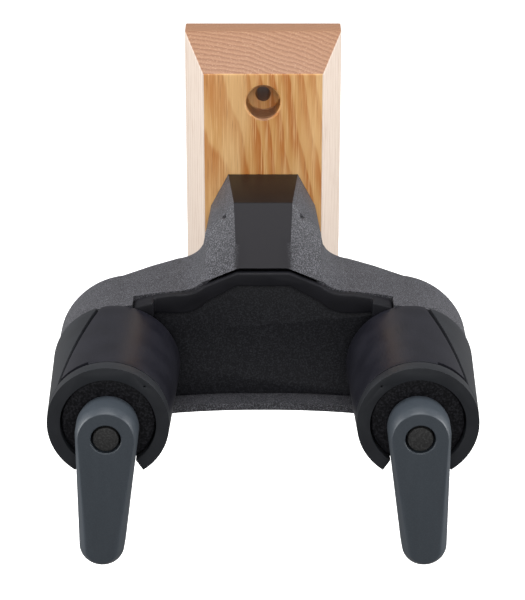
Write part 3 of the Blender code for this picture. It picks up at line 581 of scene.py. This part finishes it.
def wall_screw_hole():
    """The cutter for a counterbored hole: round edges at the counterbore's floor and mouth."""
    seat = wood_front - COUNTERBORE_DEPTH
    mouth = wood_front + 0.1 * MM
    return [(0.0, -BEYOND), (HOLE_RADIUS, -BEYOND), (HOLE_RADIUS, seat),
            (COUNTERBORE_RADIUS - COUNTERBORE_FILLET, seat),
            (COUNTERBORE_RADIUS - COUNTERBORE_FILLET / 8, seat + COUNTERBORE_FILLET),
            (COUNTERBORE_RADIUS, mouth - COUNTERBORE_LIP), (COUNTERBORE_RADIUS + COUNTERBORE_LIP, mouth),
            (COUNTERBORE_RADIUS + COUNTERBORE_LIP, wood_front + BEYOND), (0.0, wood_front + BEYOND)]


def base_screw_hole():
    """The cutter for a hole whose head pocket opens on the wall side."""
    return [(0.0, -BEYOND), (BASE_SCREW_POCKET, -BEYOND), (BASE_SCREW_POCKET, BASE_SCREW_SINK),
            (BASE_SCREW_HOLE, BASE_SCREW_SINK), (BASE_SCREW_HOLE, wood_front + BEYOND),
            (0.0, wood_front + BEYOND)]


def wooden_base():
    """The bevelled ash block with two wall-screw holes and two pockets for the bracket's screws."""
    square = mirrored([(wood_half, wood_top), (wood_half, -wood_top)])
    front_x, front_z = wood_half - WOOD_SIDE_BEVEL, wood_top - WOOD_END_BEVEL
    face = mirrored([(front_x, front_z), (front_x, -front_z)])
    wood = new_object("ash_base", loft("ash_base", [(0.0, square), (WOOD_EDGE, square), (wood_front, face)]))
    ease(wood, width=0.45 * MM, segments=3, angle=8.0)
    for z in (wood_top - HOLE_INSET, HOLE_INSET - wood_top):
        combine(wood, turned("hole", wall_screw_hole(), 0.0, z))
    for z in base_screw_heights:
        combine(wood, turned("hole", base_screw_hole(), 0.0, z, steps=48))
    finish_piece(wood, "base", "ash", ["wood_base"], sharp=25.0)


# ---- neck bracket ----

def neck():
    """The fixed bracket, whose top facet and flanks rise behind the yoke."""
    bracket = new_object("neck_hood", merged_copy("neck_bracket"))
    ease(bracket, width=0.5 * MM, segments=3, angle=15.0)
    finish_piece(bracket, "base", "neck_black", ["neck_bracket"], sharp=40.0)


# ---- yoke shell ----

def shell_outline(inset, lift, crest_half, crest, corner, corner_z):
    """Half of the yoke's section: crest, sloping side, a hollow sweep to the shoulder, pod and underside."""
    top = crest - inset
    half = [(crest_half * 0.02, top), (crest_half * 0.5, top), (crest_half - inset / 3, top)]
    side = (corner - inset / 2, corner_z - inset)
    half += spread(half[-1], side, 5)
    foot = (SHOULDER_X, SHOULDER_TOP - 0.2 * MM + lift * 0.45 - inset)
    half += bend(side, (corner + 1.5 * MM - inset / 2, SHOULDER_TOP + lift - inset), foot, 12)
    pod = arc(arm_x, arm_z, pod_radius - inset, POD_START, POD_STOP, 44)
    brow = foot[1] * (1 - BROW_SHARE) + pod[0][1] * BROW_SHARE
    half += spread(foot, (arm_x - BROW_INSET, brow), 3)
    half += spread(half[-1], pod[0], 3)[:-1]
    half += pod
    floor = SHELL_BOTTOM + inset
    half += spread(half[-1], (arm_x - FLOOR_INSET, floor - MM), 3)
    half += bend(half[-1], (arm_x * 0.3, floor + 0.05 * MM), (0.3 * MM, floor), 8)
    return mirrored(half)


def hood_section(depth, inset):
    """The section at a depth in front of the seam, where the hood slopes down to the crest."""
    share = max(0.0, min(1.0, (depth - seam_depth) / (SHELL_FRONT - seam_depth)))
    top = cover_high[2]
    crest = top + (CREST_TOP - top) * share
    half = NECK_FRONT_HALF + (CREST_HALF - NECK_FRONT_HALF) * share
    high = (top + NECK_SHOULDER) / 2
    corner_z = high + (CREST_TOP - CREST_FALL - high) * share
    lift = 1.9 * MM * (1 - share) - 0.2 * MM
    return shell_outline(inset, lift, half, crest, CORNER_X, corner_z)


def rear_section(inset):
    """The section behind the seam, where the shell is open at the middle for the bracket."""
    return shell_outline(inset, lift=1.7 * MM, crest_half=9.0 * MM, crest=2.6 * MM, corner=19.4 * MM,
                         corner_z=2.0 * MM)


def swept_wings(mesh, back):
    """Carry the rear of both wings forward, the more the farther out, and leave the front edge in place."""
    bm = bmesh.new()
    bm.from_mesh(mesh)
    for step in range(WING_CUTS):
        for side in (-1, 1):
            everything = bm.verts[:] + bm.edges[:] + bm.faces[:]
            place = (side * (WING_START + step * WING_CUT_SPACING), 0.0, 0.0)
            bmesh.ops.bisect_plane(bm, geom=everything, plane_co=place, plane_no=(1.0, 0.0, 0.0))
    for corner in bm.verts:
        fade = max(0.0, 1 + (corner.co.y + back) / (cover_back + WING_SWEEP_END - back))
        corner.co.y -= WING_SWEEP * max(0.0, abs(corner.co.x) - WING_START) * fade
    bmesh.ops.triangulate(bm, faces=[face for face in bm.faces if len(face.verts) > 4])
    bm.to_mesh(mesh)
    bm.free()
    return mesh


def shell_sections(wall, rounding, stretch, steps, front):
    """The shell's sections from its rounded back edge, past the seam, to the front."""
    back = cover_back + wall
    sections = []
    for i in range(steps + 1):
        turn = radians(90 * i / steps)
        section = rear_section(rounding * (1 - sin(turn)) + wall)
        sections.append((back + SHELL_ROUNDING * stretch * (1 - cos(turn)), section))
    sections.append((seam_depth - 0.2 * MM, rear_section(wall)))
    hood_steps = 10
    for i in range(hood_steps + 1):
        depth = seam_depth + (front - seam_depth) * i / hood_steps
        sections.append((depth, hood_section(depth, wall)))
    return sections


def cover():
    """The moulded yoke: hood, shoulders and pods in one shell, open in front and behind the neck."""
    outer = shell_sections(0.0, SHELL_ROUNDING, 1.3, 8, SHELL_FRONT)
    outer.append((pod_front, hood_section(pod_front, 0.0)))
    shell = new_object("yoke_shell", swept_wings(loft("yoke_shell", outer), cover_back))
    hollow = shell_sections(SHELL_WALL, SHELL_ROUNDING * 0.8, 1.0, 4, plate_back)
    hollow.append((pod_front + BEYOND, hood_section(pod_front, SHELL_WALL)))
    combine(shell, swept_wings(loft("hollow", hollow), cover_back + SHELL_WALL))
    passage = neck_high[0] + SEAM_GAP
    above = cover_high[2] + 80 * MM
    combine(shell, block("passage", (-passage, 0.0, neck_low[2] - BEYOND), (passage, seam_depth, above)))
    gap = arm_x - pod_radius + 2 * MM
    combine(shell, block("gap", (-gap, SHELL_FRONT, CLEAR_LOW), (gap, pod_front + 2 * BEYOND, CLEAR_HIGH)))
    rim = band_outline(FIT, BEYOND)
    combine(shell, loft("rim", [(plate_front, rim), (pod_front + BEYOND, rim)]))
    screw_end = cover_back + COVER_SCREW_DEPTH
    hole = [(0.0, 0.0), (COVER_SCREW_HOLE, 0.0), (COVER_SCREW_HOLE, screw_end), (0.0, screw_end)]
    for side in (-1, 1):
        combine(shell, turned("hole", hole, side * cover_screw_x, cover_screw_z, steps=32))
        middle = side * NOTCH_X
        notch = block("notch", (middle - NOTCH_HALF, seam_depth - 0.1 * MM, NOTCH_LOW),
                      (middle + NOTCH_HALF, seam_depth + NOTCH_DEPTH, NOTCH_HIGH))
        combine(shell, notch)
    finish_piece(shell, "yoke", "cover_grey", ["yoke_cover"], sharp=24.0)


def band_outline(grow, over=0.0):
    """The soft band along the top front edge, from one sleeve to the other."""
    edge = [(CREST_HALF, CREST_TOP), (CORNER_X, CREST_TOP - CREST_FALL),
            (SHOULDER_X, SHOULDER_TOP - 0.2 * MM), (36 * MM, SHOULDER_TOP - 1.2 * MM),
            (BAND_HALF + grow, SHOULDER_TOP - 2.9 * MM)]
    corner_z = SHOULDER_TOP - 0.5 * MM

    def line(drops):
        low = [(x, z - drop) for (x, z), drop in zip(edge, drops)]
        points = [(0.2 * MM, low[0][1]), low[0]]
        points += spread(low[0], low[1], 4)
        knee = (21.5 * MM, corner_z - drops[2])
        return points + bend(low[1], knee, low[2], 6) + bend(low[2], low[3], low[4], 8)

    top = line([-over] * 5)
    bottom = line([height * MM + grow for height in BAND_HEIGHTS])
    right = top + bottom[::-1]
    return right + [(-x, z) for x, z in bottom] + [(-x, z) for x, z in reversed(top)]


def soft_band():
    """The band between the sleeves. Only its two ears reach as far forward as the pods."""
    outline = band_outline(0.0)
    band = new_object("soft_band", loft("soft_band", [(band_back, outline), (pod_front, outline)]))
    middle = arm_x - BAND_EAR_INSET
    combine(band, block("middle", (-middle, SHELL_FRONT + 0.5 * MM, CLEAR_LOW),
                        (middle, pod_front + BEYOND, CLEAR_HIGH)))
    ease(band, width=0.6 * MM, segments=3, angle=40.0)
    finish_piece(band, "yoke", "band_black", ["yoke_pad"], sharp=40.0)


def wall_plate():
    """The black wall that closes the shell between the arms, its plastic painted darker than the cover's as
    painted shade between the arms.
    """
    plate = new_object("yoke_wall", merged_copy("front_plate"))
    ease(plate, width=0.3 * MM, segments=2, angle=40.0)
    finish_piece(plate, "yoke", "plate_black", ["front_plate"], sharp=35.0)


# ---- arms ----

def sleeve_radius(depth):
    """The sleeve's outer radius, which tapers towards the front."""
    share = (depth - sleeve_back) / (sleeve_front - sleeve_back)
    return rear_radius + (FRONT_RADIUS - rear_radius) * share


def seam_angle(depth):
    """Where the diagonal seam between pad and sleeve lies, in degrees from straight up."""
    share = (depth - sleeve_back) / (ring_back - sleeve_back)
    return SEAM_REAR + (SEAM_FRONT - SEAM_REAR) * share


def sector(side, start, stop, depth, steps, shrink=0.0, bore=TUBE_RADIUS + FIT):
    """A sleeve's section between two angles from straight up, from the bore to the outer face."""
    turns = [radians(start + (stop - start) * i / steps) for i in range(steps + 1)]
    outer = sleeve_radius(depth) - shrink

    def at(radius, turn):
        return (side * (arm_x + radius * sin(turn)), arm_z + radius * cos(turn))
    return [at(outer, a) for a in turns] + [at(bore, a) for a in reversed(turns)]


def soft_pad(name, side, stations, end, half_seam):
    """The soft part of the sleeve, on the arm's top and inner side."""
    pad = [(d, sector(side, seam_angle(d) - half_seam, -end, d, 60)) for d in stations]
    pad[-1] = (ring_back - RING_SLIT, pad[-1][1])
    soft = new_object(f"soft_pad_{name}", loft("soft_pad", pad))
    slot = [(d, sector(side, SEAM_FRONT + 2, SLOT_END, d, 16, -BEYOND, TUBE_RADIUS + SLOT_BED))
            for d in (ring_back - SLOT_WIDTH, ring_back)]
    combine(soft, loft("slot", slot))
    ease(soft, width=0.7 * MM, segments=4, angle=40.0)
    finish_piece(soft, "yoke", "pad_black", [f"arm_pad_{name}"], sharp=60.0)


def ringed_sleeve(name, side, stations, end, half_seam):
    """The firm part of the sleeve with its front ring and one vent."""
    shell = [(d, sector(side, seam_angle(d) + half_seam, end, d, 40)) for d in stations]
    shell[-1] = (ring_back + BEYOND, shell[-1][1])
    sleeve = new_object(f"ringed_sleeve_{name}", loft("sleeve", shell))
    ring = loft("ring", [(d, sector(side, end, -end, d, 90)) for d in (ring_back, sleeve_front)])
    combine(sleeve, ring, "UNION")
    turn = radians(VENT_ANGLE)
    vent = [(0.0, sleeve_front - VENT_DEPTH), (VENT_RADIUS, sleeve_front - VENT_DEPTH),
            (VENT_RADIUS, sleeve_front + BEYOND), (0.0, sleeve_front + BEYOND)]
    vent_x = side * (arm_x + VENT_REACH * sin(turn))
    combine(sleeve, turned("vent", vent, vent_x, arm_z + VENT_REACH * cos(turn), steps=16))
    ease(sleeve, width=0.55 * MM, segments=3, angle=40.0)
    finish_piece(sleeve, "yoke", "sleeve_grey", [f"arm_sleeve_{name}"], sharp=60.0)


def arm_barrel(name, side):
    """The arm's tube: a rounded front ring, a hollow middle and a flange behind the plate."""
    flange_front = plate_back - FIT
    flange_back = plate_back - FLANGE_DEPTH
    inner = tube_front - TUBE_END_WALL
    profile = [
        (TUBE_BORE, tube_front - 0.4 * MM), (TUBE_BORE + 0.6 * MM, tube_front - 0.1 * MM),
        (TUBE_BORE + 1.1 * MM, tube_front), (TUBE_RADIUS - 1.1 * MM, tube_front),
        (TUBE_RADIUS - 0.4 * MM, tube_front - 0.2 * MM), (TUBE_RADIUS, tube_front - 0.8 * MM),
        (TUBE_RADIUS, flange_front), (FLANGE_RADIUS, flange_front), (FLANGE_RADIUS, flange_back),
        (TUBE_HOLLOW, flange_back), (TUBE_HOLLOW, inner), (TUBE_BORE, inner),
    ]
    tube = new_object(f"arm_barrel_{name}", turned("arm_barrel", profile, side * arm_x, arm_z))
    finish_piece(tube, "yoke", "arm_black", [f"arm_tube_{name}"], sharp=30.0)


def arm(name, side):
    """One arm: its barrel with the sleeve's soft and firm parts round it."""
    end = 180.0 - SLEEVE_OPENING
    half_seam = degrees(SEAM_HALF / FRONT_RADIUS)
    stations = [sleeve_back + (ring_back - sleeve_back) * i / STATIONS for i in range(STATIONS + 1)]
    soft_pad(name, side, stations, end, half_seam)
    ringed_sleeve(name, side, stations, end, half_seam)
    arm_barrel(name, side)


# ---- gates ----

def capsule(first, first_radius, second, second_radius, steps):
    """An outline round two circles and the straight lines that touch them both."""
    (ax, az), (bx, bz) = first, second
    length = ((bx - ax) ** 2 + (bz - az) ** 2) ** 0.5
    way = degrees(atan2(bz - az, bx - ax))
    lean = degrees(atan2(first_radius - second_radius, length))
    outline = arc(ax, az, first_radius, way + 90 - lean, way + 270 + lean, steps)
    return outline + arc(bx, bz, second_radius, way - 90 + lean, way + 90 - lean, steps)


def gate_lever(name, side):
    """The lever: a chamfered, tapering plate on a short hub, bored for its shaft."""
    x = side * arm_x
    tilt = side * radians(LEVER_TILT)
    foot = lever_reach - LEVER_TIP_RADIUS
    tip = (x + foot * sin(tilt), arm_z - foot * cos(tilt))

    def outline(inset):
        return capsule((x, arm_z), LEVER_RADIUS - inset * 0.45, tip, LEVER_TIP_RADIUS - inset, 40)
    back = hub_back + LEVER_STAND_OFF
    edge = LEVER_CHAMFER
    body = [(back, outline(0.5 * MM)), (back + 0.2 * MM, outline(0.15 * MM)),
            (back + 0.6 * MM, outline(0.0)),
            (lever_front - 3.4 * MM, outline(0.15 * MM)), (lever_front - 2.8 * MM, outline(0.3 * MM)),
            (lever_front - 0.45 * MM, outline(edge - 0.35 * MM)), (lever_front - 0.15 * MM, outline(edge)),
            (lever_front, outline(edge + 0.45 * MM))]
    lever = new_object(f"gate_arm_{name}", loft("gate_arm", body))
    radius = LEVER_RADIUS - 0.4 * MM
    inside = back + 0.8 * MM
    hub = [(0.0, hub_back), (radius - 0.5 * MM, hub_back), (radius, hub_back + 0.3 * MM), (radius, inside),
           (0.0, inside)]
    combine(lever, turned("hub", hub, x, arm_z), "UNION")
    bore = shaft_radius + SHAFT_RECESS
    mouth = bore + 0.35 * MM
    hole = [(0.0, hub_back - BEYOND), (bore, hub_back - BEYOND), (bore, lever_front - 0.3 * MM),
            (mouth, lever_front + 0.05 * MM), (mouth, lever_front + BEYOND), (0.0, lever_front + BEYOND)]
    combine(lever, turned("bore", hole, x, arm_z))
    finish_piece(lever, f"{name}_gate", "lever_blue", [f"gate_lever_{name}"], sharp=28.0)


def gate_shaft(name):
    """The shaft whose round end shows in the lever."""
    shaft = new_object(f"gate_spindle_{name}", merged_copy(f"gate_shaft_{name}"))
    ease(shaft, width=0.35 * MM, segments=3, angle=40.0)
    finish_piece(shaft, f"{name}_gate", "shaft_black", [f"gate_shaft_{name}"], sharp=40.0)


# ---- springs, made by geometry nodes ----

def spring_tree():
    """A coil: a spiral swept by a round wire, with its sizes as named inputs."""
    tree = bpy.data.node_groups.new("coil_spring", "GeometryNodeTree")
    face = tree.interface
    for label in ("Radius", "Wire", "Height", "Turns"):
        face.new_socket(label, in_out="INPUT", socket_type="NodeSocketFloat")
    face.new_socket("Geometry", in_out="OUTPUT", socket_type="NodeSocketGeometry")

    def add(kind, **inputs):
        made = tree.nodes.new(kind)
        for key, value in inputs.items():
            socket = made.inputs[key.replace("_", " ")]
            if hasattr(value, "is_output"):
                tree.links.new(value, socket)
            else:
                socket.default_value = value
        return made
    given = tree.nodes.new("NodeGroupInput").outputs
    spiral = add("GeometryNodeCurveSpiral", Resolution=40, Rotations=given["Turns"],
                 Start_Radius=given["Radius"], End_Radius=given["Radius"], Height=given["Height"])
    wire = add("GeometryNodeCurvePrimitiveCircle", Resolution=12, Radius=given["Wire"])
    sweep = add("GeometryNodeCurveToMesh", Curve=spiral.outputs["Curve"],
                Profile_Curve=wire.outputs["Curve"], Fill_Caps=True)
    real = add("GeometryNodeRealizeInstances", Geometry=sweep.outputs["Mesh"])
    finish = add("GeometryNodeSetMaterial", Geometry=real.outputs["Geometry"], Material=FINISHES["steel"])
    result = tree.nodes.new("NodeGroupOutput")
    tree.links.new(finish.outputs["Geometry"], result.inputs["Geometry"])
    return tree


def springs():
    """The two return springs, made at their rest length; the yoke squashes the real ones as it drops."""
    tree = spring_tree()
    drop = next(joint["range_m"][1] for joint in frame["joints"] if joint["name"] == "yoke_drop")
    for name in ("left", "right"):
        low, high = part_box(f"return_spring_{name}")
        length = high[2] - low[2]
        radius = (high[0] - low[0]) / 2 - SPRING_WIRE
        coil = new_object(f"coil_{name}", bpy.data.meshes.new("coil"))
        change = coil.modifiers.new("Coil", "NODES")
        change.node_group = tree
        sizes = {"Radius": radius, "Wire": SPRING_WIRE, "Height": length - 2 * SPRING_WIRE,
                 "Turns": SPRING_TURNS}
        for item in tree.interface.items_tree:
            if item.in_out == "INPUT":
                change[item.identifier] = sizes[item.name]
        applied(coil)
        middle = ((low[0] + high[0]) / 2, (low[1] + high[1]) / 2, low[2] + SPRING_WIRE)
        coil.data.transform(Matrix.Translation(middle))
        finish_piece(coil, "base", "steel", [f"return_spring_{name}"], sharp=60.0)
        (length - drop) / length
        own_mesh(coil)


# ---- carried-over pieces ----

def dress_cad_nodes():
    """Every CAD node keeps its shape and takes its slot's finish."""
    slots = {part["node"]: part["material_slot"] for part in frame["record"]["subparts"]}
    for name, thing in frame["nodes"].items():
        thing.data.materials.clear()
        thing.data.materials.append(FINISHES[slots[name]])


# ---- stage, light and camera ----

def area_light(name, place, target, size, power):
    """A soft rectangular light that faces a target."""
    light = bpy.data.lights.new(name, "AREA")
    light.shape = "RECTANGLE"
    light.size, light.size_y = size
    light.energy = power
    thing = new_object(name, light)
    thing.location = place
    thing.rotation_euler = (Vector(target) - Vector(place)).to_track_quat("-Z", "Y").to_euler()


def stage():
    """A pale floor, a white world and four softboxes."""
    floor_mesh = bpy.data.meshes.new("floor")
    bm = bmesh.new()
    bmesh.ops.create_grid(bm, x_segments=1, y_segments=1, size=6.0)
    bm.to_mesh(floor_mesh)
    bm.free()
    floor = new_object("floor", floor_mesh)
    floor.location = (0.0, 0.0, FLOOR_HEIGHT)
    paint = Finish("floor_paint", 0.9, Emission_Color=(1.0, 1.0, 1.0, 1.0), Emission_Strength=0.8)
    paint.colour((0.93, 0.93, 0.93))
    floor_mesh.materials.append(paint.material)
    floor.visible_diffuse = False
    floor.visible_glossy = False
    world = bpy.data.worlds.new("studio")
    world.use_nodes = True
    sky = world.node_tree.nodes["Background"]
    sky.inputs["Color"].default_value = (1.0, 1.0, 1.0, 1.0)
    sky.inputs["Strength"].default_value = 0.32
    bpy.context.scene.world = world
    middle = (0.0, -0.06, 0.0)
    area_light("top_softbox", (0.0, -0.10, 0.95), middle, size=(0.8, 0.6), power=7.0)
    area_light("left_softbox", (-0.90, -0.02, 0.22), middle, size=(0.5, 0.8), power=9.0)
    area_light("right_softbox", (0.90, -0.02, 0.22), middle, size=(0.5, 0.8), power=9.0)
    area_light("front_softbox", (0.0, -1.3, 0.55), middle, size=(0.9, 0.5), power=8.0)


def camera():
    """A long lens from above the hanger's front, looking down at it."""
    pitch = radians(22.3)
    distance = 725.516 * MM      # along the view, to the wooden base's top edge
    drop = 91.142 * MM           # from that edge down to the middle of the view
    forward = Vector((0.0, cos(pitch), -sin(pitch)))
    up = Vector((0.0, sin(pitch), cos(pitch)))
    lens = bpy.data.cameras.new("camera")
    lens.sensor_width = 36.0
    lens.lens = 132.3
    lens.clip_start = 0.01
    lens.shift_x = -0.001
    thing = new_object("camera", lens)
    thing.location = Vector((0.0, 0.0, wood_top)) - forward * distance - up * drop
    thing.rotation_euler = (pi / 2 - pitch, 0.0, 0.0)
    bpy.context.scene.camera = thing


camera()
stage()
bpy.context.scene.view_settings.view_transform = "Standard"
dress_cad_nodes()
wooden_base()
neck()
cover()
soft_band()
wall_plate()
springs()
for side_name, sign in (("left", -1), ("right", 1)):
    arm(side_name, sign)
    gate_lever(side_name, sign)
    gate_shaft(side_name)
